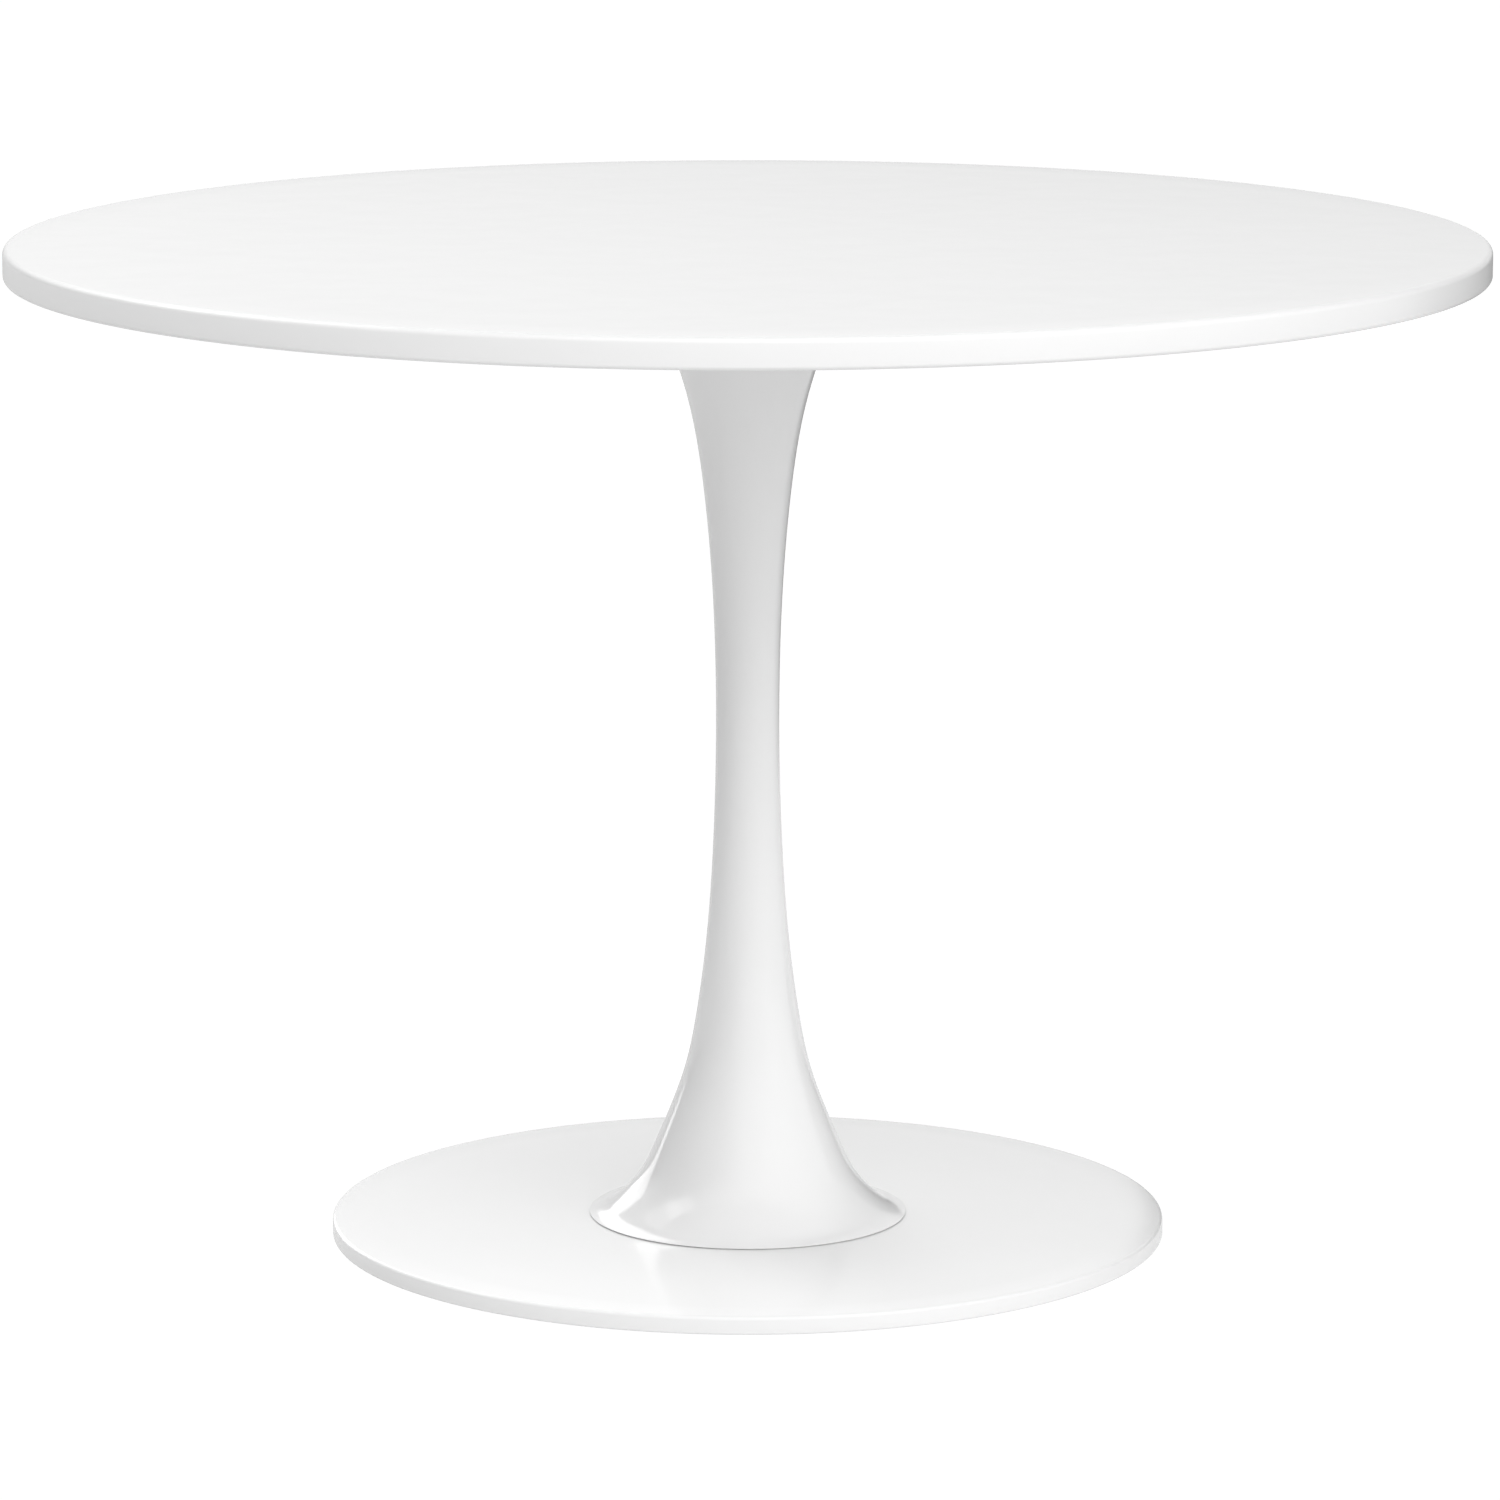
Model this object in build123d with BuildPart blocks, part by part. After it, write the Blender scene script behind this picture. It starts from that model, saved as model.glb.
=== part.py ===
"""Round pedestal table: a lacquered disc top on a trumpet column and a flat steel base disc.

The column is clamped between the base and a mounting plate by one tie rod on its axis.
Millimetres, +Z up. The origin is on the table's axis, at the floor.
"""

import os

from build123d import *

os.makedirs("parts", exist_ok=True)

# ---- overall sizes ----
table_height = 733.0
top_radius = 533.5
top_thickness = 22.0
top_upper_arris = 4.5
top_lower_arris = 3.0
base_radius = 305.0
base_thickness = 12.7
base_upper_arris = 2.5
base_lower_arris = 1.5
glide_height = 2.3

# ---- levels up the table's axis ----
base_bottom = glide_height
base_top = base_bottom + base_thickness
top_bottom = table_height - top_thickness
mounting_thickness = 5.0
mounting_bottom = top_bottom - mounting_thickness

# ---- column ----
foot_gasket_thickness = 0.6
rim_gasket_thickness = 1.5
column_bottom = base_top + foot_gasket_thickness
column_top = mounting_bottom - rim_gasket_thickness
column_wall = 3.0
lip_radius = 116.2
lip_edge_height = 0.4
lip_underside_radius = 103.0
inside_steps = 24
# Radius and height where the outside passes, from the lip, in through the waist, and out to the rim.
column_stations = [
    (112.2, 16.9),
    (106.5, 18.8),
    (98.0, 24.2),
    (89.3, 32.0),
    (78.8, 45.0),
    (68.8, 65.0),
    (57.5, 92.0),
    (45.8, 125.0),
    (37.5, 165.0),
    (30.3, 220.0),
    (25.3, 290.0),
    (23.1, 375.0),
    (24.8, 465.0),
    (31.5, 550.0),
    (45.0, 625.0),
    (75.5, column_top),
]

# ---- mounting plate and the screws that hold the top ----
mounting_radius = 140.0
mounting_arris = 1.0
top_screw_circle = 125.0
top_screw_count = 8
m6_radius = 3.0
m6_clearance = 3.4
m6_head_radius = 5.25
m6_head_height = 3.3
m6_head_round = 1.8
m6_socket_radius = 2.31
m6_socket_depth = 2.0
top_screw_length = 16.0
washer_radius = 8.0
washer_thickness = 1.2
insert_radius = 5.0
insert_length = 13.0
insert_hole_depth = 14.0
insert_slot_width = 1.4
insert_slot_depth = 2.0

# ---- tie rod and its nut ----
rod_radius = 6.0
rod_clearance = 6.5
rod_chamfer = 1.0
rod_past_nut = 2.0
nut_flat_radius = 9.5
nut_height = 8.0
nut_chamfer = 0.8
rod_washer_radius = 14.0
rod_washer_thickness = 2.5
nut_pocket_radius = 20.0
nut_pocket_depth = 14.0

# ---- centring disc under the mounting plate ----
centring_radius = 68.0
centring_thickness = 6.0
centring_screw_circle = 42.0
centring_screw_count = 4
m6_csk_radius = 6.0
centring_screw_length = 10.5

# ---- foot plate and base bolts ----
foot_plate_radius = 91.0
foot_plate_thickness = 8.0
plate_arris = 1.0
base_bolt_circle = 65.0
base_bolt_count = 4
m8_radius = 4.0
m8_clearance = 4.5
m8_csk_radius = 8.0
m8_socket_radius = 2.88
m8_socket_depth = 3.0
csk_recess = 0.3
base_bolt_length = 19.5
csk_angle = 90

# ---- gaskets ----
foot_gasket_inner = 104.0
foot_gasket_outer = 115.0
rim_gasket_inner = 72.5
rim_gasket_outer = 75.2

# ---- floor glides ----
glide_circle = 278.0
glide_count = 6
glide_radius = 12.0
glide_chamfer = 0.8
glide_stem_radius = 4.0
glide_stem_length = 6.0
glide_hole_depth = 6.5

# Gap left round every part that sits in a hole of its own size.
fit_gap = 0.05


def write(builder, name):
    """Labels a finished piece and writes its STEP file."""
    builder.part.label = name
    export_step(builder.part, f"parts/{name}.step")


# ---- table top: a disc with blind holes for the inserts and a pocket over the nut ----
with BuildPart() as table_top:
    with BuildSketch(Plane.XY.offset(top_bottom)):
        Circle(top_radius)
    extrude(amount=top_thickness)
    fillet(edges().group_by(Axis.Z)[-1], top_upper_arris)
    fillet(edges().group_by(Axis.Z)[0], top_lower_arris)
    with BuildSketch(Plane.XY.offset(top_bottom)):
        with PolarLocations(top_screw_circle, top_screw_count):
            Circle(insert_radius)
    extrude(amount=insert_hole_depth, mode=Mode.SUBTRACT)
    with BuildSketch(Plane.XY.offset(top_bottom)):
        Circle(nut_pocket_radius)
    extrude(amount=nut_pocket_depth, mode=Mode.SUBTRACT)
write(table_top, "table_top")

# ---- threaded inserts: tapped sleeves with a driving slot in the lower end ----
with BuildPart() as top_inserts:
    with BuildSketch(Plane.XY.offset(top_bottom)):
        with PolarLocations(top_screw_circle, top_screw_count):
            Circle(insert_radius - fit_gap)
            Circle(m6_radius + fit_gap, mode=Mode.SUBTRACT)
    extrude(amount=insert_length)
    with BuildSketch(Plane.XY.offset(top_bottom)):
        with PolarLocations(top_screw_circle, top_screw_count):
            Rectangle(2 * insert_radius, insert_slot_width)
    extrude(amount=insert_slot_depth, mode=Mode.SUBTRACT)
write(top_inserts, "top_inserts")

# ---- mounting plate: a round steel plate under the top ----
with BuildPart() as mounting_plate:
    with BuildSketch(Plane.XY.offset(mounting_bottom)):
        Circle(mounting_radius)
    extrude(amount=mounting_thickness)
    chamfer(edges().group_by(Axis.Z)[0], mounting_arris)
    with Locations((0, 0, top_bottom)):
        Hole(rod_clearance)
        with PolarLocations(top_screw_circle, top_screw_count):
            Hole(m6_clearance)
        with PolarLocations(centring_screw_circle, centring_screw_count):
            CounterSinkHole(m6_clearance, m6_csk_radius + csk_recess, counter_sink_angle=csk_angle)
write(mounting_plate, "mounting_plate")

# ---- washers and button-head screws that hold the top, driven from below ----
washer_bottom = mounting_bottom - washer_thickness
with BuildPart() as top_washers:
    with BuildSketch(Plane.XY.offset(washer_bottom)):
        with PolarLocations(top_screw_circle, top_screw_count):
            Circle(washer_radius)
            Circle(m6_radius + fit_gap, mode=Mode.SUBTRACT)
    extrude(amount=washer_thickness)
write(top_washers, "top_washers")

head_bottom = washer_bottom - m6_head_height
with BuildPart() as top_screws:
    with BuildSketch(Plane.XY.offset(head_bottom)):
        with PolarLocations(top_screw_circle, top_screw_count):
            Circle(m6_head_radius)
    extrude(amount=m6_head_height)
    fillet(edges().group_by(Axis.Z)[0], m6_head_round)
    with BuildSketch(Plane.XY.offset(washer_bottom)):
        with PolarLocations(top_screw_circle, top_screw_count):
            Circle(m6_radius)
    extrude(amount=top_screw_length)
    with BuildSketch(Plane.XY.offset(head_bottom)):
        with PolarLocations(top_screw_circle, top_screw_count):
            RegularPolygon(m6_socket_radius, 6)
    extrude(amount=m6_socket_depth, mode=Mode.SUBTRACT)
write(top_screws, "top_screws")

# ---- centring disc: keeps the column's rim on the axis ----
with BuildPart() as centring_disc:
    with BuildSketch(Plane.XY.offset(mounting_bottom - centring_thickness)):
        Circle(centring_radius)
    extrude(amount=centring_thickness)
    chamfer(edges().group_by(Axis.Z)[0], plate_arris)
    with Locations((0, 0, mounting_bottom)):
        Hole(rod_clearance)
        with PolarLocations(centring_screw_circle, centring_screw_count):
            Hole(m6_radius + fit_gap)
write(centring_disc, "centring_disc")

# ---- countersunk screws that hold the centring disc to the mounting plate ----
centring_head_top = top_bottom - csk_recess
with BuildPart() as centring_screws:
    with BuildSketch(Plane.XY.offset(centring_head_top)):
        with PolarLocations(centring_screw_circle, centring_screw_count):
            Circle(m6_csk_radius)
    extrude(amount=m6_radius - m6_csk_radius, taper=csk_angle / 2)
    with BuildSketch(Plane.XY.offset(centring_head_top)):
        with PolarLocations(centring_screw_circle, centring_screw_count):
            Circle(m6_radius)
    extrude(amount=-centring_screw_length)
    with BuildSketch(Plane.XY.offset(centring_head_top)):
        with PolarLocations(centring_screw_circle, centring_screw_count):
            RegularPolygon(m6_socket_radius, 6)
    extrude(amount=-m6_socket_depth, mode=Mode.SUBTRACT)
write(centring_screws, "centring_screws")

# ---- column: a hollow trumpet, turned about the table's axis ----
with BuildPart() as column_shell:
    with BuildSketch(Plane.XZ):
        with BuildLine():
            outside = Spline(*column_stations)
            Polyline(
                outside @ 0,
                (lip_radius, column_bottom + lip_edge_height),
                (lip_radius, column_bottom),
                (0, column_bottom),
                (0, column_top),
                outside @ 1,
            )
        make_face()
    revolve(axis=Axis.Z)
    inside_points = []
    for step in range(1, inside_steps + 1):
        share = step / inside_steps
        along = outside % share
        inside_points.append(outside @ share + column_wall * Vector(-along.Y, along.X))
    with BuildSketch(Plane.XZ):
        with BuildLine():
            inside = Spline(*inside_points)
            Polyline(
                inside @ 0,
                (lip_underside_radius, column_bottom),
                (0, column_bottom),
                (0, mounting_bottom),
                inside @ 1,
            )
        make_face()
    revolve(axis=Axis.Z, mode=Mode.SUBTRACT)
write(column_shell, "column_shell")

# ---- gaskets at the column's two ends ----
with BuildPart() as rim_gasket:
    with BuildSketch(Plane.XY.offset(column_top)):
        Circle(rim_gasket_outer)
        Circle(rim_gasket_inner, mode=Mode.SUBTRACT)
    extrude(amount=rim_gasket_thickness)
write(rim_gasket, "rim_gasket")

with BuildPart() as foot_gasket:
    with BuildSketch(Plane.XY.offset(base_top)):
        Circle(foot_gasket_outer)
        Circle(foot_gasket_inner, mode=Mode.SUBTRACT)
    extrude(amount=foot_gasket_thickness)
write(foot_gasket, "foot_gasket")

# ---- tie rod, washer and nut: they pull the mounting plate down on the column ----
rod_bottom = base_top + fit_gap
nut_bottom = top_bottom + rod_washer_thickness
rod_top = nut_bottom + nut_height + rod_past_nut
with BuildPart() as tie_rod:
    with BuildSketch(Plane.XY.offset(rod_bottom)):
        Circle(rod_radius)
    extrude(amount=rod_top - rod_bottom)
    chamfer(edges(), rod_chamfer)
write(tie_rod, "tie_rod")

with BuildPart() as rod_washer:
    with BuildSketch(Plane.XY.offset(top_bottom)):
        Circle(rod_washer_radius)
        Circle(rod_radius + fit_gap, mode=Mode.SUBTRACT)
    extrude(amount=rod_washer_thickness)
write(rod_washer, "rod_washer")

with BuildPart() as rod_nut:
    with BuildSketch(Plane.XY.offset(nut_bottom)):
        RegularPolygon(nut_flat_radius, 6, major_radius=False)
        Circle(rod_radius + fit_gap, mode=Mode.SUBTRACT)
    extrude(amount=nut_height)
    chamfer(edges().group_by(Axis.Z)[-1].filter_by(GeomType.LINE), nut_chamfer)
write(rod_nut, "rod_nut")

# ---- foot plate: tapped for the tie rod and for the base bolts, and centres the column's foot ----
with BuildPart() as foot_plate:
    with BuildSketch(Plane.XY.offset(base_top)):
        Circle(foot_plate_radius)
    extrude(amount=foot_plate_thickness)
    chamfer(edges().group_by(Axis.Z)[-1], plate_arris)
    with Locations((0, 0, base_top + foot_plate_thickness)):
        Hole(rod_radius + fit_gap)
        with PolarLocations(base_bolt_circle, base_bolt_count):
            Hole(m8_radius + fit_gap)
write(foot_plate, "foot_plate")

# ---- base plate: a heavy steel disc, countersunk from below, with blind holes for the glides ----
underside = -Plane.XY.offset(base_bottom)
with BuildPart() as base_plate:
    with BuildSketch(Plane.XY.offset(base_bottom)):
        Circle(base_radius)
    extrude(amount=base_thickness)
    fillet(edges().group_by(Axis.Z)[-1], base_upper_arris)
    fillet(edges().group_by(Axis.Z)[0], base_lower_arris)
    with Locations(underside.location):
        with PolarLocations(base_bolt_circle, base_bolt_count):
            CounterSinkHole(m8_clearance, m8_csk_radius + csk_recess, counter_sink_angle=csk_angle)
        with PolarLocations(glide_circle, glide_count):
            Hole(glide_stem_radius + fit_gap, depth=glide_hole_depth)
write(base_plate, "base_plate")

# ---- countersunk bolts, up through the base plate into the foot plate ----
bolt_head_bottom = base_bottom + csk_recess
with BuildPart() as base_bolts:
    with BuildSketch(Plane.XY.offset(bolt_head_bottom)):
        with PolarLocations(base_bolt_circle, base_bolt_count):
            Circle(m8_csk_radius)
    extrude(amount=m8_csk_radius - m8_radius, taper=csk_angle / 2)
    with BuildSketch(Plane.XY.offset(bolt_head_bottom)):
        with PolarLocations(base_bolt_circle, base_bolt_count):
            Circle(m8_radius)
    extrude(amount=base_bolt_length)
    with BuildSketch(Plane.XY.offset(bolt_head_bottom)):
        with PolarLocations(base_bolt_circle, base_bolt_count):
            RegularPolygon(m8_socket_radius, 6)
    extrude(amount=m8_socket_depth, mode=Mode.SUBTRACT)
write(base_bolts, "base_bolts")

# ---- floor glides: hard plastic discs with a stem pushed into the base ----
with BuildPart() as floor_glides:
    with BuildSketch():
        with PolarLocations(glide_circle, glide_count):
            Circle(glide_radius)
    extrude(amount=glide_height)
    chamfer(edges().group_by(Axis.Z)[0], glide_chamfer)
    with BuildSketch(Plane.XY.offset(glide_height)):
        with PolarLocations(glide_circle, glide_count):
            Circle(glide_stem_radius)
    extrude(amount=glide_stem_length)
write(floor_glides, "floor_glides")
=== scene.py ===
"""Round pedestal table: the looks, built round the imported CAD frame. Metres, +Z up, floor at z = 0."""

import math

import bmesh
import bpy
import numpy as np
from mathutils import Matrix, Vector


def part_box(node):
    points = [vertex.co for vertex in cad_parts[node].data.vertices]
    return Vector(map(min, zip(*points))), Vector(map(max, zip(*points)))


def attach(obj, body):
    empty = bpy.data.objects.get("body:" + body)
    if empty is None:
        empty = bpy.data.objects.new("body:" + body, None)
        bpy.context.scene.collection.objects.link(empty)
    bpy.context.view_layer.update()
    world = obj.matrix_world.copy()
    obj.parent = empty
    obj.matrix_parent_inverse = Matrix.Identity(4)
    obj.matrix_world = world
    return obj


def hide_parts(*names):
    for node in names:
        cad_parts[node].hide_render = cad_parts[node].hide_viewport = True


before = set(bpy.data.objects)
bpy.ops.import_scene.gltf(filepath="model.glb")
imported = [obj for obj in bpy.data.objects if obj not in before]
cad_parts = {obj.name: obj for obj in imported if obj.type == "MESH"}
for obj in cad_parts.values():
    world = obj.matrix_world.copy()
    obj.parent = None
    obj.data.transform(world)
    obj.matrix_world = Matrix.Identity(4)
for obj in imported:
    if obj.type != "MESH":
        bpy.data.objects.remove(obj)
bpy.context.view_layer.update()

MM = 0.001
TURN = 2 * math.pi

# ---- places and sizes that the frame gives ----
def reach(node):
    """How far a node reaches from the table's axis, along X."""
    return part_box(node)[1].x


top_low, top_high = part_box("table_top")
base_low, base_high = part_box("base_plate")
column_low, column_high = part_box("column_shell")

# ---- shapes that the frame's boxes don't give, as in the CAD ----
TOP_UPPER_ARRIS = 4.5 * MM
TOP_LOWER_ARRIS = 3.0 * MM
BASE_UPPER_ARRIS = 2.5 * MM
BASE_LOWER_ARRIS = 1.5 * MM
COLUMN_WALL = 3.0 * MM
LIP_EDGE_HEIGHT = 0.4 * MM
LIP_EDGE_CHAMFER = 0.15 * MM
LIP_UNDERSIDE_RADIUS = 103.0 * MM
# The share of the column's outline, up from the lip, where the wall's inside starts.
INSIDE_START = 1 / 24
# How much wider the inside's edge is at the rim than just below it.
RIM_INNER_STEP = 0.05 * MM
# Radius and height where the column's outside passes, from its lip, through the waist, to its rim.
COLUMN_STATIONS = [
    (0.1122, 0.0169),
    (0.1065, 0.0188),
    (0.0980, 0.0242),
    (0.0893, 0.0320),
    (0.0788, 0.0450),
    (0.0688, 0.0650),
    (0.0575, 0.0920),
    (0.0458, 0.1250),
    (0.0375, 0.1650),
    (0.0303, 0.2200),
    (0.0253, 0.2900),
    (0.0231, 0.3750),
    (0.0248, 0.4650),
    (0.0315, 0.5500),
    (0.0450, 0.6250),
    (0.0755, column_high.z),
]

# ---- hardware sizes for the holes that the visible pieces need ----
INSERT_HOLE_RADIUS = 5.0 * MM
FIT_GAP = 0.05 * MM
INSERT_HOLE_DEPTH = 14.0 * MM
INSERT_CIRCLE = reach("top_inserts") - (INSERT_HOLE_RADIUS - FIT_GAP)
INSERT_COUNT = 8
NUT_POCKET_RADIUS = 20.0 * MM
NUT_POCKET_DEPTH = 14.0 * MM
BOLT_COUNT = 4
BOLT_HEAD_RADIUS = 8.0 * MM
BOLT_HOLE_RADIUS = 4.5 * MM
COUNTERSINK_RADIUS = 8.3 * MM
GLIDE_COUNT = 6
GLIDE_RADIUS = 12.0 * MM
STEM_HOLE_RADIUS = 4.05 * MM
STEM_HOLE_DEPTH = 6.5 * MM
# How far a cutter runs past the face that it opens.
PAST_FACE = 1.0 * MM

# ---- fineness of the meshes ----
TOP_SEGMENTS = 384
BASE_SEGMENTS = 288
COLUMN_SEGMENTS = 192
HOLE_SEGMENTS = 48
COLUMN_SPANS = 180
ARC_STEPS = 8
# Rings across each flat face, so that its quads stay short.
TOP_FACE_RINGS = 14
TOP_UNDERSIDE_RINGS = 12
BASE_FACE_RINGS = 10
SHARP_CORNER_DEGREES = 40


# =====================================================================================
# Shapes
# =====================================================================================

def spline(points, spans):
    """Points along the natural cubic spline through the given points, spaced by chord length."""
    knots = np.array(points, float)
    chord = np.hypot(*np.diff(knots, axis=0).T)
    place = np.concatenate([[0.0], np.cumsum(chord)])
    last = len(knots) - 1
    matrix = np.eye(last + 1)
    right = np.zeros((last + 1, 2))
    for i in range(1, last):
        before, after = chord[i - 1], chord[i]
        matrix[i, i - 1:i + 2] = before, 2 * (before + after), after
        right[i] = 6 * ((knots[i + 1] - knots[i]) / after - (knots[i] - knots[i - 1]) / before)
    bend = np.linalg.solve(matrix, right)
    made = []
    for along in np.linspace(0.0, place[-1], spans + 1):
        i = min(int(np.searchsorted(place, along, side="right")) - 1, last - 1)
        span = chord[i]
        start_share = (place[i + 1] - along) / span
        end_share = (along - place[i]) / span
        curved = (start_share ** 3 - start_share) * bend[i] + (end_share ** 3 - end_share) * bend[i + 1]
        made.append(start_share * knots[i] + end_share * knots[i + 1] + curved * span * span / 6)
    return np.array(made)


def corner_arc(centre, radius, start, end):
    """Points on an arc in the (radius, height) plane, with its angles in degrees."""
    angles = np.radians(np.linspace(start, end, ARC_STEPS + 1))
    return [(centre[0] + radius * math.cos(a), centre[1] + radius * math.sin(a)) for a in angles]


def disc_edge(radius, low, high, lower_arris, upper_arris):
    """The edge of a disc from its lower arris to its upper one."""
    lower = corner_arc((radius - lower_arris, low + lower_arris), lower_arris, -90, 0)
    upper = corner_arc((radius - upper_arris, high - upper_arris), upper_arris, 0, 90)
    return lower + upper


def face_rings(first, last, height, count):
    """Points across a flat face, between one radius and another."""
    return [(radius, height) for radius in np.linspace(first, last, count + 2)[1:-1]]


def lathe(name, outline, segments, closed=False, centres=((0.0, 0.0),)):
    """A mesh turned from an outline of (radius, height) points, about the axis of each centre.

    An open outline starts and ends on the axis; a closed one is the section of a ring.
    """
    mesh = bmesh.new()
    for centre in centres:
        rings = [turned_ring(mesh, centre, radius, height, segments) for radius, height in outline]
        following = rings[1:] + rings[:1] if closed else rings[1:]
        for lower, upper in zip(rings, following):
            for k in range(segments):
                n = (k + 1) % segments
                corners = [lower[k % len(lower)], lower[n % len(lower)]]
                corners += [upper[n % len(upper)], upper[k % len(upper)]]
                mesh.faces.new(list(dict.fromkeys(corners)))
    bmesh.ops.recalc_face_normals(mesh, faces=mesh.faces)
    return finish_mesh(name, mesh)


def turned_ring(mesh, centre, radius, height, segments):
    """The vertices of one ring of a turned shape: only one of them where the ring is on the axis."""
    if radius == 0.0:
        return [mesh.verts.new((*centre, height))]
    ring = []
    for k in range(segments):
        angle = TURN * k / segments
        x, y = centre[0] + radius * math.cos(angle), centre[1] + radius * math.sin(angle)
        ring.append(mesh.verts.new((x, y, height)))
    return ring


def finish_mesh(name, mesh):
    """Turns a bmesh into a smooth-shaded object whose sharp corners stay sharp."""
    data = bpy.data.meshes.new(name)
    mesh.to_mesh(data)
    mesh.free()
    data.shade_smooth()
    data.set_sharp_from_angle(angle=math.radians(SHARP_CORNER_DEGREES))
    piece = bpy.data.objects.new(name, data)
    bpy.context.scene.collection.objects.link(piece)
    return piece


def cut(piece, *cutters):
    """Cuts closed meshes out of a piece, and removes them."""
    for cutter in cutters:
        step = piece.modifiers.new("cut", "BOOLEAN")
        step.operation = "DIFFERENCE"
        step.solver = "EXACT"
        step.object = cutter
    bpy.context.view_layer.update()
    made = bpy.data.meshes.new_from_object(piece.evaluated_get(bpy.context.evaluated_depsgraph_get()))
    piece.modifiers.clear()
    piece.data = made
    made.name = piece.name
    for cutter in cutters:
        bpy.data.objects.remove(cutter)


def on_circle(radius, count):
    """Centres of evenly spaced places on a circle about the table's axis."""
    angles = [TURN * k / count for k in range(count)]
    return [(radius * math.cos(a), radius * math.sin(a)) for a in angles]


def drill(radius, bottom, top, centres):
    """A cutter for straight round holes."""
    outline = [(0.0, bottom), (radius, bottom), (radius, top), (0.0, top)]
    return lathe("cutter", outline, HOLE_SEGMENTS, centres=centres)


# =====================================================================================
# Materials
# =====================================================================================

# Noise mostly stays between these two values.
NOISE_LOW, NOISE_HIGH = 0.3, 0.7
# How far paint strays from its colour, as shares of it, and how far each finish strays from its roughness.
PAINT_TONE_LOW, PAINT_TONE_HIGH = 0.994, 1.004
PAINT_GLOSS = (-0.010, 0.015)
METAL_GLOSS = (-0.07, 0.09)
SOFT_GLOSS = (-0.06, 0.06)
PAINT_IOR = 1.5


def new_material(name):
    """A material and its Principled shader."""
    material = bpy.data.materials.new(name)
    material.use_nodes = True
    return material, next(n for n in material.node_tree.nodes if n.type == "BSDF_PRINCIPLED")


class Finish:
    """A material in the making, with its textures in the object's own coordinates, at their real size."""

    def __init__(self, name):
        self.material, self.shader = new_material(name)
        self.tree = self.material.node_tree
        self.place = self.node("ShaderNodeTexCoord", {}).outputs["Object"]

    def node(self, kind, inputs):
        """Adds a node whose inputs are each linked to another node's output or set to a value."""
        made = self.tree.nodes.new(kind)
        for key, source in inputs.items():
            if isinstance(source, bpy.types.NodeSocket):
                self.tree.links.new(source, made.inputs[key])
            else:
                made.inputs[key].default_value = source
        return made

    def noise(self, scale, detail, roughness):
        """A value from fractal noise."""
        inputs = {"Vector": self.place, "Scale": scale, "Detail": detail, "Roughness": roughness}
        return self.node("ShaderNodeTexNoise", inputs).outputs["Fac"]

    def spread(self, source, low, high):
        """A value that goes from low to high where noise goes over its usual range."""
        inputs = {"Value": source, "To Min": low, "To Max": high}
        inputs.update({"From Min": NOISE_LOW, "From Max": NOISE_HIGH})
        return self.node("ShaderNodeMapRange", inputs).outputs["Result"]

    def tint(self, source, dark, light):
        """Lets noise move the base colour between two colours."""
        mix = self.node("ShaderNodeMix", {})
        mix.data_type = "RGBA"
        first, second = [i for i in mix.inputs if i.type == "RGBA"]
        first.default_value = (*dark, 1.0)
        second.default_value = (*light, 1.0)
        share = next(i for i in mix.inputs if i.type == "VALUE")
        colour = next(o for o in mix.outputs if o.type == "RGBA")
        self.tree.links.new(self.spread(source, 0.0, 1.0), share)
        self.tree.links.new(colour, self.shader.inputs["Base Color"])

    def gloss(self, source, roughness, strays):
        """Lets noise move the roughness about its usual value."""
        moved = self.spread(source, roughness + strays[0], roughness + strays[1])
        self.tree.links.new(moved, self.shader.inputs["Roughness"])

    def relief(self, *layers):
        """Raises the surface by layers of noise, each given with its height, one on top of another."""
        inputs = {"Strength": 1.0}
        for source, height in layers:
            inputs.update({"Height": source, "Distance": height})
            inputs["Normal"] = self.node("ShaderNodeBump", inputs).outputs["Normal"]
        self.tree.links.new(inputs["Normal"], self.shader.inputs["Normal"])


def paint(name, colour, roughness, peel_size, peel_height, grain_size, grain_height):
    """Sprayed white paint: orange peel, a fine grain, and a faint unevenness of tone and gloss."""
    finish = Finish(name)
    dark = [channel * PAINT_TONE_LOW for channel in colour]
    light = [channel * PAINT_TONE_HIGH for channel in colour]
    finish.tint(finish.noise(3.5, 3.0, 0.5), dark, light)
    finish.gloss(finish.noise(22.0, 4.0, 0.6), roughness, PAINT_GLOSS)
    peel = finish.noise(1.0 / peel_size, 1.5, 0.4)
    grain = finish.noise(1.0 / grain_size, 2.0, 0.6)
    finish.relief((peel, peel_height), (grain, grain_height))
    finish.shader.inputs["IOR"].default_value = PAINT_IOR
    return finish.material


def metal(name, dark, light, roughness, patch_size, scratch_height):
    """Plated or plain steel, or brass: patchy tone and gloss, with a fine lay of tool marks."""
    finish = Finish(name)
    finish.shader.inputs["Metallic"].default_value = 1.0
    finish.tint(finish.noise(1.0 / patch_size, 5.0, 0.65), dark, light)
    spangle = finish.node("ShaderNodeTexVoronoi", {"Vector": finish.place, "Scale": 2.0 / patch_size})
    finish.gloss(spangle.outputs["Distance"], roughness, METAL_GLOSS)
    finish.relief((finish.noise(4500.0, 2.0, 0.5), scratch_height))
    return finish.material


def soft(name, dark, light, roughness, grain_size, grain_height):
    """Rubber or nylon: a matte moulded skin with a fine grain and faint dust."""
    finish = Finish(name)
    dust = finish.noise(60.0, 6.0, 0.7)
    finish.tint(dust, dark, light)
    finish.gloss(dust, roughness, SOFT_GLOSS)
    finish.relief((finish.noise(1.0 / grain_size, 3.0, 0.6), grain_height))
    return finish.material


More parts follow.
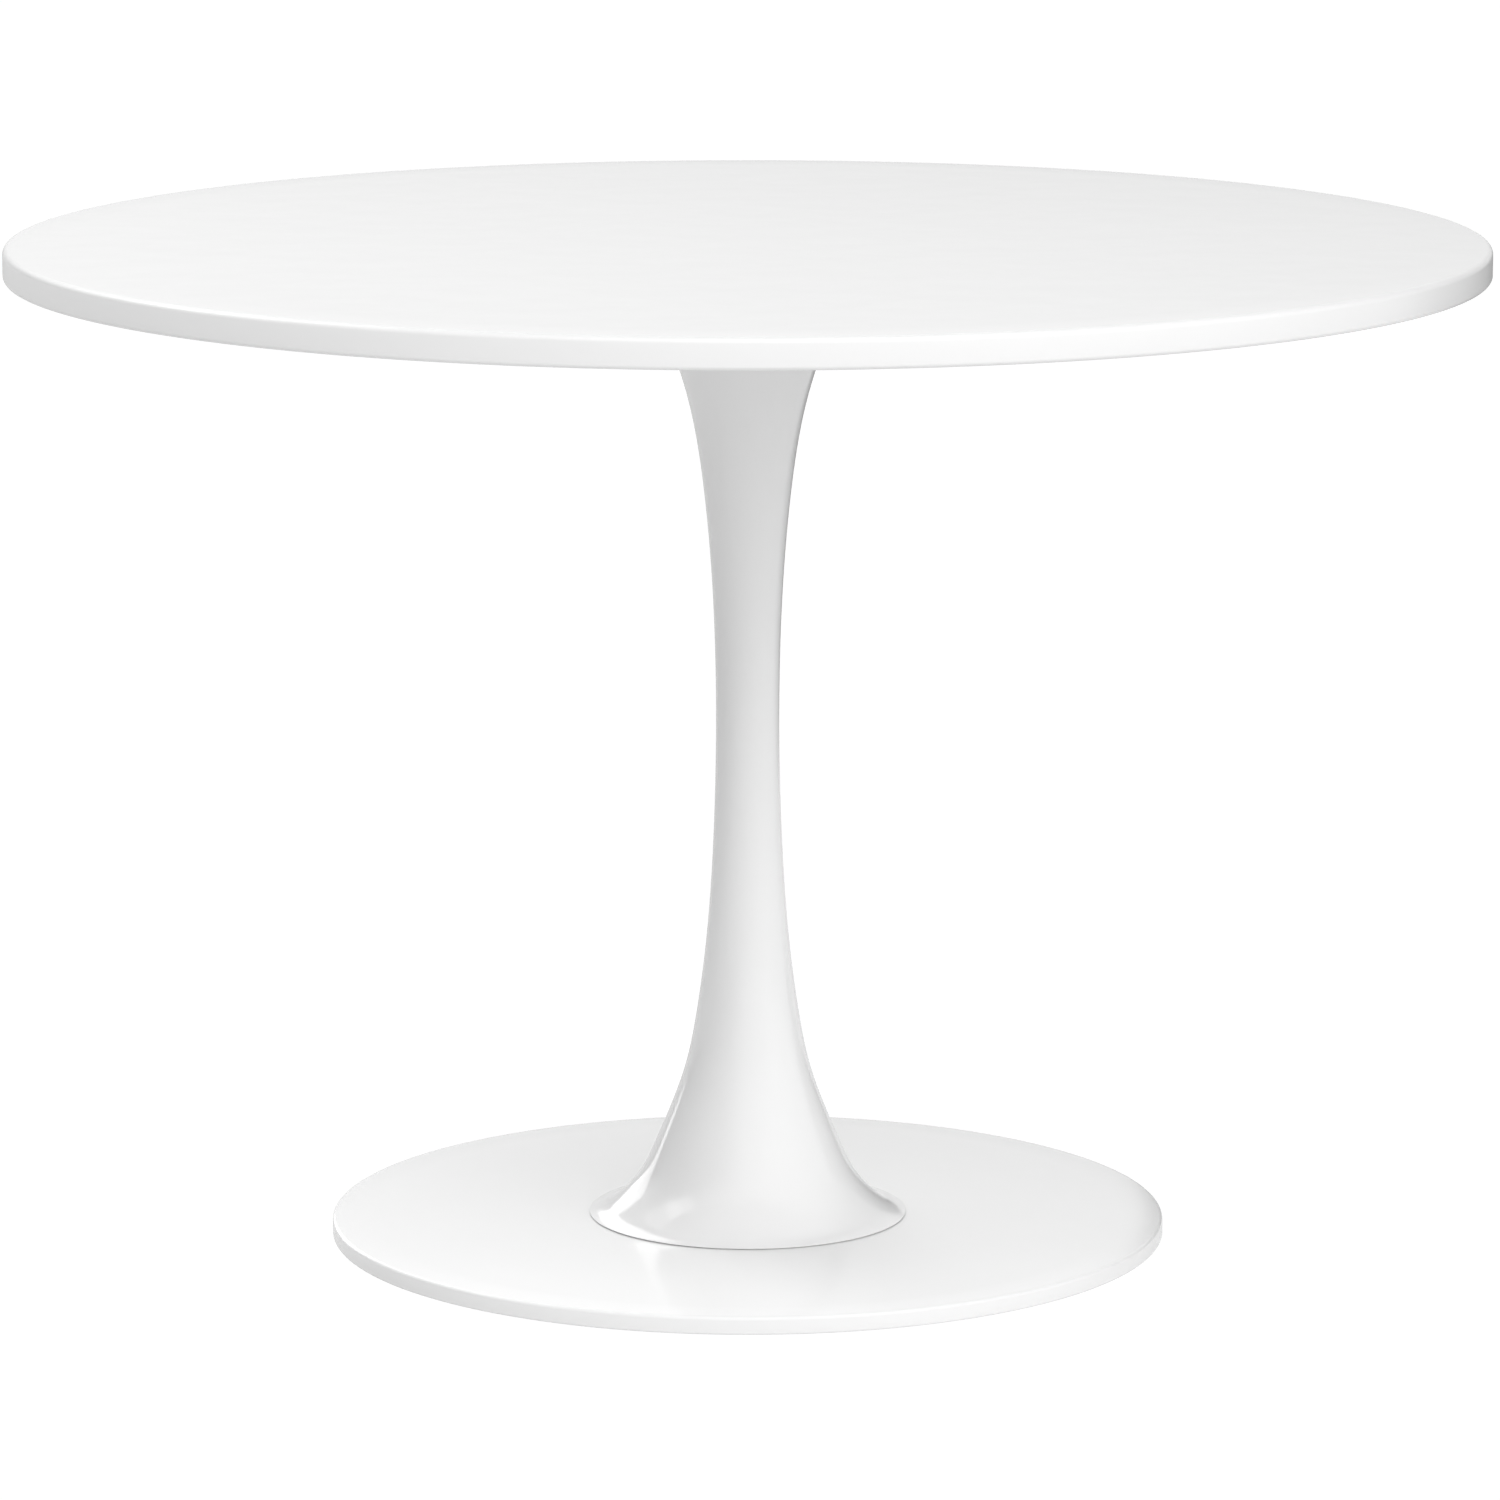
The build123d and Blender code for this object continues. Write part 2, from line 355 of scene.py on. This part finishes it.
TOP_WHITE = (0.80, 0.80, 0.80)
COLUMN_WHITE = (0.80, 0.80, 0.80)
BASE_WHITE = (0.82, 0.82, 0.82)
top_lacquer = paint("top_lacquer", TOP_WHITE, 0.24, 2.2 * MM, 0.010 * MM, 0.35 * MM, 0.0012 * MM)
column_paint = paint("column_paint", COLUMN_WHITE, 0.11, 1.8 * MM, 0.014 * MM, 0.45 * MM, 0.0025 * MM)
base_paint = paint("base_paint", BASE_WHITE, 0.16, 2.0 * MM, 0.012 * MM, 0.40 * MM, 0.0018 * MM)
plate_paint = paint("plate_paint", COLUMN_WHITE, 0.34, 1.5 * MM, 0.018 * MM, 0.45 * MM, 0.0030 * MM)
zinc = metal("zinc", (0.48, 0.49, 0.52), (0.66, 0.67, 0.70), 0.30, 3.0 * MM, 0.0015 * MM)
plain_steel = metal("plain_steel", (0.16, 0.165, 0.17), (0.27, 0.275, 0.28), 0.42, 9.0 * MM, 0.0030 * MM)
insert_brass = metal("insert_brass", (0.56, 0.40, 0.16), (0.74, 0.56, 0.26), 0.26, 4.0 * MM, 0.0015 * MM)
gasket_rubber = soft("gasket_rubber", (0.58, 0.58, 0.575), (0.66, 0.66, 0.655), 0.62, 0.5 * MM, 0.010 * MM)
glide_nylon = soft("glide_plastic", (0.56, 0.56, 0.54), (0.68, 0.68, 0.66), 0.46, 0.7 * MM, 0.006 * MM)


# =====================================================================================
# Pieces
# =====================================================================================

def place_piece(piece, material, slot_name, *nodes):
    """Gives a piece its finish, and lets it stand for its CAD nodes on the table's one body."""
    piece.data.materials.clear()
    piece.data.materials.append(material)
    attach(piece, "root")
    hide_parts(*nodes)


def make_top():
    """The disc top, with rounded arrises, the nut's pocket and the holes for the inserts."""
    radius, low, high = top_high.x, top_low.z, top_high.z
    pocket_roof = low + NUT_POCKET_DEPTH
    outline = [(0.0, pocket_roof), (NUT_POCKET_RADIUS, pocket_roof), (NUT_POCKET_RADIUS, low)]
    outline += face_rings(NUT_POCKET_RADIUS, radius - TOP_LOWER_ARRIS, low, TOP_UNDERSIDE_RINGS)
    outline += disc_edge(radius, low, high, TOP_LOWER_ARRIS, TOP_UPPER_ARRIS)
    outline += face_rings(radius - TOP_UPPER_ARRIS, 0.0, high, TOP_FACE_RINGS)
    outline.append((0.0, high))
    piece = lathe("tabletop", outline, TOP_SEGMENTS)
    insert_places = on_circle(INSERT_CIRCLE, INSERT_COUNT)
    cut(piece, drill(INSERT_HOLE_RADIUS, low - PAST_FACE, low + INSERT_HOLE_DEPTH, insert_places))
    place_piece(piece, top_lacquer, "top_lacquer", "table_top")


def make_column():
    """The hollow trumpet: its outside through the stations, and its inside one wall thickness in."""
    outside = spline(COLUMN_STATIONS, COLUMN_SPANS)
    along = np.gradient(outside, axis=0)
    along /= np.linalg.norm(along, axis=1)[:, None]
    inside = outside + COLUMN_WALL * np.stack([-along[:, 1], along[:, 0]], axis=1)
    inside = [tuple(p) for p in inside[int(COLUMN_SPANS * INSIDE_START):] if p[1] < column_high.z]
    lip, bottom, rim = column_high.x, column_low.z, column_high.z
    outline = [
        (LIP_UNDERSIDE_RADIUS, bottom),
        (lip - LIP_EDGE_CHAMFER, bottom),
        (lip, bottom + LIP_EDGE_CHAMFER),
        (lip, bottom + LIP_EDGE_HEIGHT),
        *[tuple(p) for p in outside],
        (inside[-1][0] + RIM_INNER_STEP, rim),
        *reversed(inside),
    ]
    piece = lathe("column", outline, COLUMN_SEGMENTS, closed=True)
    place_piece(piece, column_paint, "column_paint", "column_shell")
    return piece


def make_base():
    """The base disc, with soft arrises, countersunk bolt holes and the holes for the glides' stems."""
    radius, low, high = base_high.x, base_low.z, base_high.z
    outline = [(0.0, low)]
    outline += face_rings(0.0, radius - BASE_LOWER_ARRIS, low, BASE_FACE_RINGS)
    outline += disc_edge(radius, low, high, BASE_LOWER_ARRIS, BASE_UPPER_ARRIS)
    outline += face_rings(radius - BASE_UPPER_ARRIS, 0.0, high, BASE_FACE_RINGS)
    outline.append((0.0, high))
    piece = lathe("base_disc", outline, BASE_SEGMENTS)
    cone_top = low + COUNTERSINK_RADIUS - BOLT_HOLE_RADIUS
    countersink = [
        (0.0, low - PAST_FACE),
        (COUNTERSINK_RADIUS + PAST_FACE, low - PAST_FACE),
        (BOLT_HOLE_RADIUS, cone_top),
        (BOLT_HOLE_RADIUS, high + PAST_FACE),
        (0.0, high + PAST_FACE),
    ]
    bolt_places = on_circle(reach("base_bolts") - BOLT_HEAD_RADIUS, BOLT_COUNT)
    bolt_holes = lathe("cutter", countersink, HOLE_SEGMENTS, centres=bolt_places)
    stem_places = on_circle(reach("floor_glides") - GLIDE_RADIUS, GLIDE_COUNT)
    stem_holes = drill(STEM_HOLE_RADIUS, low - PAST_FACE, low + STEM_HOLE_DEPTH, stem_places)
    cut(piece, bolt_holes, stem_holes)
    place_piece(piece, base_paint, "base_paint", "base_plate")
    return piece


make_top()
column = make_column()
base_disc = make_base()

# The CAD nodes that stay as they are, and their finishes.
CARRIED_OVER = {
    "mounting_plate": plate_paint,
    "top_inserts": insert_brass,
    "top_screws": zinc,
    "top_washers": zinc,
    "centring_disc": plain_steel,
    "centring_screws": zinc,
    "rod_washer": zinc,
    "rod_nut": zinc,
    "tie_rod": zinc,
    "rim_gasket": gasket_rubber,
    "foot_gasket": gasket_rubber,
    "foot_plate": plain_steel,
    "base_bolts": zinc,
    "floor_glides": glide_nylon,
}
for node_name, finish in CARRIED_OVER.items():
    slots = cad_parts[node_name].data.materials
    for index in range(len(slots)):
        slots[index] = finish


# =====================================================================================
# Floor, light and camera
# =====================================================================================

FLOOR_HALF_WIDTH = 30.0
FLOOR_ROUGHNESS = 0.9
# The floor that the camera sees, and the darker one that every other ray meets in the same place.
FLOOR_GREY = 0.55
FLOOR_GLOW = 0.68
BOUNCE_GREY = 0.45
BOUNCE_GLOW = 0.39
FLAG_GREY = 0.02

# The brightness of the studio's wall at its low, middle and high part, in eight directions round the table,
# which start straight behind it and go on by its left.
STUDIO_WALL = {
    "behind": (0.85, 1.1, 0.2),
    "back left": (0.2, 1.2, 0.7),
    "left": (0.15, 0.15, 0.25),
    "front left": (0.15, 0.25, 0.9),
    "front": (1.0, 1.2, 1.1),
    "front right": (1.1, 1.1, 1.1),
    "right": (0.95, 0.7, 0.8),
    "back right": (0.2, 0.25, 0.2),
}
# Where each part of the wall, and then the ceiling, takes over from what is below it. It does so between two
# heights, which are those of the far end of a one metre line that points there.
WALL_STARTS = ((-0.02, 0.02), (0.15, 0.40), (0.55, 0.75))
CEILING_START = (0.85, 0.97)
CEILING_LEVEL = 0.15
BELOW_HORIZON_LEVEL = 0.55
BACKDROP_LEVEL = 1.0

CAMERA_DISTANCE = 5.424
CAMERA_HEIGHT = 1.381
CAMERA_PITCH_DOWN = 10.66
CAMERA_YAW = -0.018
CAMERA_LENS = 182.0
CAMERA_SENSOR = 36.0

WHITE = (1.0, 1.0, 1.0, 1.0)


def show_only_to(thing, *rays):
    """Lets only some kinds of ray see a thing."""
    for ray in ("camera", "diffuse", "glossy", "transmission", "shadow"):
        setattr(thing, "visible_" + ray, ray in rays)


def floor_sheet(name, grey, glow):
    """A plain pale floor, wide enough to fill the view."""
    mesh = bmesh.new()
    bmesh.ops.create_grid(mesh, x_segments=8, y_segments=8, size=FLOOR_HALF_WIDTH)
    sheet = finish_mesh(name, mesh)
    material, shader = new_material(name)
    shader.inputs["Base Color"].default_value = (grey, grey, grey, 1.0)
    shader.inputs["Roughness"].default_value = FLOOR_ROUGHNESS
    shader.inputs["Specular IOR Level"].default_value = 0.0
    shader.inputs["Emission Color"].default_value = WHITE
    shader.inputs["Emission Strength"].default_value = glow
    sheet.data.materials.append(material)
    return sheet


def black_flag(name, place, turn_degrees, width, height):
    """A dark panel seen only in the table's reflections, which draws the table's edge against white."""
    mesh = bmesh.new()
    bmesh.ops.create_grid(mesh, x_segments=6, y_segments=6, size=0.5)
    for vertex in mesh.verts:
        x, y = vertex.co.x, vertex.co.y
        vertex.co = (x * width, 0.0, (y + 0.5) * height)
    panel = finish_mesh(name, mesh)
    panel.location = place
    panel.rotation_euler = (0.0, 0.0, math.radians(turn_degrees))
    material, shader = new_material(name)
    shader.inputs["Base Color"].default_value = (FLAG_GREY, FLAG_GREY, FLAG_GREY, 1.0)
    shader.inputs["Roughness"].default_value = 1.0
    panel.data.materials.append(material)
    show_only_to(panel, "glossy")


def softbox(name, place, aim, width, height, strength, mirrored=True, only_on=()):
    """A rectangular studio light that points at a place on the table.

    It may be kept out of reflections, and it may be flagged off everything but some pieces.
    """
    data = bpy.data.lights.new(name, "AREA")
    data.shape = "RECTANGLE"
    data.size = width
    data.size_y = height
    data.energy = strength
    light = bpy.data.objects.new(name, data)
    light.location = place
    light.rotation_mode = "QUATERNION"
    light.rotation_quaternion = (Vector(aim) - Vector(place)).to_track_quat("-Z", "Y")
    light.visible_camera = False
    light.visible_glossy = mirrored
    bpy.context.scene.collection.objects.link(light)
    if only_on:
        lit_pieces = bpy.data.collections.new(name + "_lit_pieces")
        for piece in only_on:
            lit_pieces.objects.link(piece)
        light.light_linking.receiver_collection = lit_pieces


def make_studio():
    """A studio dome whose brightness varies round its wall and up it, behind a plain white backdrop.

    The camera sees the backdrop, and every other ray sees the dome.
    """
    world = bpy.data.worlds.new("studio")
    world.use_nodes = True
    tree = world.node_tree

    def node(kind, *sources):
        made = tree.nodes.new(kind)
        for source, slot in zip(sources, made.inputs):
            tree.links.new(source, slot)
        return made

    def wall_part(share, levels):
        """Brightness round one part of the wall, by the share of the way round."""
        ramp = node("ShaderNodeValToRGB", share)
        ramp.color_ramp.interpolation = "EASE"
        levels = [*levels, levels[0]]
        elements = ramp.color_ramp.elements
        while len(elements) < len(levels):
            elements.new(0.5)
        for k, level in enumerate(levels):
            elements[k].position = k / (len(levels) - 1)
            elements[k].color = (level, level, level, 1.0)
        return ramp.outputs["Color"]

    def take_over(start, below):
        """A mix that takes over from what is below it, between two heights."""
        rise = node("ShaderNodeMapRange", direction.outputs["Z"])
        rise.interpolation_type = "SMOOTHSTEP"
        rise.inputs["From Min"].default_value = start[0]
        rise.inputs["From Max"].default_value = start[1]
        mix = node("ShaderNodeMix", rise.outputs["Result"])
        if below is None:
            mix.inputs["A"].default_value = BELOW_HORIZON_LEVEL
        else:
            tree.links.new(below.outputs["Result"], mix.inputs["A"])
        return mix

    direction = node("ShaderNodeSeparateXYZ", node("ShaderNodeTexCoord").outputs["Generated"])
    front = node("ShaderNodeMath", direction.outputs["Y"])
    front.operation = "MULTIPLY"
    front.inputs[1].default_value = -1.0
    turn = node("ShaderNodeMath", direction.outputs["X"], front.outputs["Value"])
    turn.operation = "ARCTAN2"
    share = node("ShaderNodeMath", turn.outputs["Value"])
    share.operation = "MULTIPLY_ADD"
    share.inputs[1].default_value = 1 / TURN
    share.inputs[2].default_value = 0.5

    dome = None
    for start, levels in zip(WALL_STARTS, zip(*STUDIO_WALL.values())):
        dome = take_over(start, dome)
        tree.links.new(wall_part(share.outputs["Value"], levels), dome.inputs["B"])
    dome = take_over(CEILING_START, dome)
    dome.inputs["B"].default_value = CEILING_LEVEL

    lit = tree.nodes["Background"]
    lit.inputs["Color"].default_value = WHITE
    tree.links.new(dome.outputs["Result"], lit.inputs["Strength"])
    plain = node("ShaderNodeBackground")
    plain.inputs["Color"].default_value = WHITE
    plain.inputs["Strength"].default_value = BACKDROP_LEVEL
    seen = node("ShaderNodeLightPath").outputs["Is Camera Ray"]
    shown = node("ShaderNodeMixShader", seen, lit.outputs["Background"], plain.outputs["Background"])
    tree.links.new(shown.outputs["Shader"], tree.nodes["World Output"].inputs["Surface"])
    bpy.context.scene.world = world


def make_camera():
    """A long lens well in front of the table, looking down on it slightly."""
    data = bpy.data.cameras.new("camera")
    data.lens = CAMERA_LENS
    data.sensor_width = CAMERA_SENSOR
    camera = bpy.data.objects.new("camera", data)
    camera.location = (0.0, -CAMERA_DISTANCE, CAMERA_HEIGHT)
    camera.rotation_euler = (math.radians(90 - CAMERA_PITCH_DOWN), 0.0, math.radians(CAMERA_YAW))
    bpy.context.scene.collection.objects.link(camera)
    bpy.context.scene.camera = camera


show_only_to(floor_sheet("floor", FLOOR_GREY, FLOOR_GLOW), "camera")
floor_bounce = floor_sheet("floor_bounce", BOUNCE_GREY, BOUNCE_GLOW)
show_only_to(floor_bounce, "diffuse", "glossy", "transmission", "shadow")
make_studio()
softbox("front_bank", (0.1, -1.55, 2.95), (0.0, -0.3, 0.4), 2.4, 0.45, 17.0)
softbox("high_left", (-1.5, 0.6, 2.2), (0.0, 0.0, 0.37), 1.4, 1.4, 7.0)
softbox("near_left", (-1.3, 0.0, 1.8), (0.0, 0.0, 0.6), 0.9, 0.9, 4.5)
softbox("key_right", (4.2, -4.2, 2.45), (0.0, 0.0, 0.4), 4.0, 2.7, 52.0, mirrored=False)
softbox("key_front", (0.7, -4.4, 4.2), (0.0, 0.0, 0.2), 4.0, 2.0, 60.0, mirrored=False)
softbox("low_back_left", (-1.4, 2.0, 0.6), (0.0, 0.0, 0.1), 1.1, 0.9, 7.0, only_on=(column, base_disc))
softbox("far_back_left", (-2.0, 5.7, 3.4), (0.0, 0.0, 0.1), 1.8, 3.4, 40.0, only_on=(column, base_disc))
softbox("column_key", (2.6, -4.0, 3.6), (0.0, 0.0, 0.2), 2.0, 1.5, 24.0, mirrored=False, only_on=(column,))
softbox("base_back", (-1.5, 3.0, 2.0), (0.0, 0.0, 0.0), 1.6, 1.2, 20.0, mirrored=False, only_on=(base_disc,))
black_flag("flag_back_right", (1.28, 1.48, 0.0), -41.0, 2.2, 0.7)
make_camera()
bpy.context.scene.view_settings.view_transform = "Standard"
